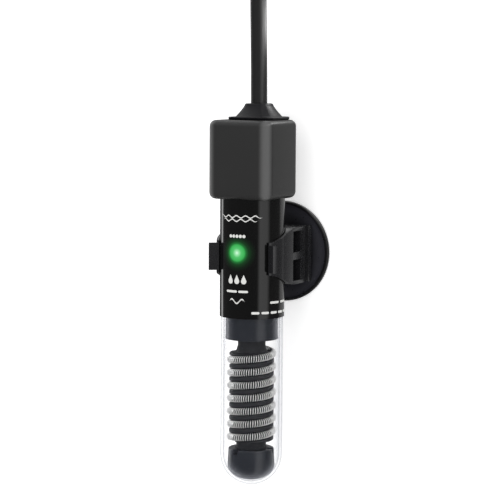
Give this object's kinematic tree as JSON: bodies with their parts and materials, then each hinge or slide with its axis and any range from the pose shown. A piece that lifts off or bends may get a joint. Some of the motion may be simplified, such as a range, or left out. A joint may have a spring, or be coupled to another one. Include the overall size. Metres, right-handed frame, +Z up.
{
  "type": "submersible aquarium heater",
  "caption": "Submersible glass-tube aquarium heater with a square head cap, indicator lamp, sliding suction-cup clip and a mains cord put away in a tied hank.",
  "frame": {"origin": "centre of the heater and clip box on the surface that the suction cup rests on, without the cord", "axes": "+Y along the glass tube towards the cord, +Z up, out of the front with the lamp, +X to the right seen from the front with the cord up"},
  "size_m": [0.0424, 0.3748, 0.0375],
  "materials": {
    "clear_glass": "clear borosilicate tube, polished",
    "label_film": "glossy black printed film",
    "cap_plastic": "satin moulded ABS, dark grey",
    "black_rubber": "moulded black rubber, slight sheen",
    "seal_rubber": "soft black seal rubber",
    "clip_plastic": "semi-gloss moulded black nylon",
    "former_plastic": "dark moulded heat-proof plastic",
    "core_ceramic": "dark unglazed ceramic",
    "resistance_wire": "bright drawn nickel-chrome wire",
    "board_laminate": "green lacquered glass-fibre laminate",
    "lamp_lens": "clear green lamp lens",
    "component_amber": "amber dipped capacitor case",
    "component_blue": "dark blue shrink-sleeved can",
    "component_black": "black moulded component case",
    "component_tan": "tan lacquered resistor body",
    "tinned_metal": "tinned or plated metal",
    "wire_dark": "black wire insulation",
    "wire_light": "off-white heat-proof wire sleeve",
    "cord_jacket": "matt black PVC cord jacket",
    "tie_plastic": "black plastic-coated twist tie",
    "plug_plastic": "black moulded PVC plug",
    "plug_brass": "plated brass blade"
  },
  "bodies": {
    "heater": {"glass_tube": "clear_glass", "label_sleeve": "label_film", "head_cap": "cap_plastic", "cord_gland": "black_rubber", "seal_plug": "seal_rubber", "seal_ring": "seal_rubber", "core_collar": "former_plastic", "ceramic_core": "core_ceramic", "heating_coil": "resistance_wire", "end_bumper": "former_plastic", "circuit_board": "board_laminate", "indicator_lamp": "lamp_lens", "film_capacitor": "component_amber", "smoothing_capacitor": "component_blue", "power_triac": "component_black", "control_chip": "component_black", "dropper_resistor": "component_tan", "thermal_fuse": "tinned_metal", "temperature_sensor": "component_black", "live_wire": "wire_dark", "neutral_wire": "wire_light", "coil_crimp": "tinned_metal", "coil_lead": "wire_light", "return_lead": "wire_light", "power_cord": "cord_jacket", "cord_hank": "cord_jacket", "cord_tail": "cord_jacket", "cord_tie_right": "tie_plastic", "cord_tie_left": "tie_plastic", "plug_body": "plug_plastic", "plug_blade_left": "plug_brass", "plug_blade_right": "plug_brass"},
    "clip": {"tube_clip": "clip_plastic"},
    "cup": {"suction_cup": "black_rubber"}
  },
  "joints": [
    {"name": "clip_slide", "type": "slide", "parent": "heater", "child": "clip", "axis": [0, 1, 0], "range_m": [-0.0146, 0.0102]},
    {"name": "cup_swivel", "type": "hinge", "parent": "clip", "child": "cup", "pos_m": [0, 0.0138, 0], "axis": [0, 0, 1], "continuous": true}
  ]
}
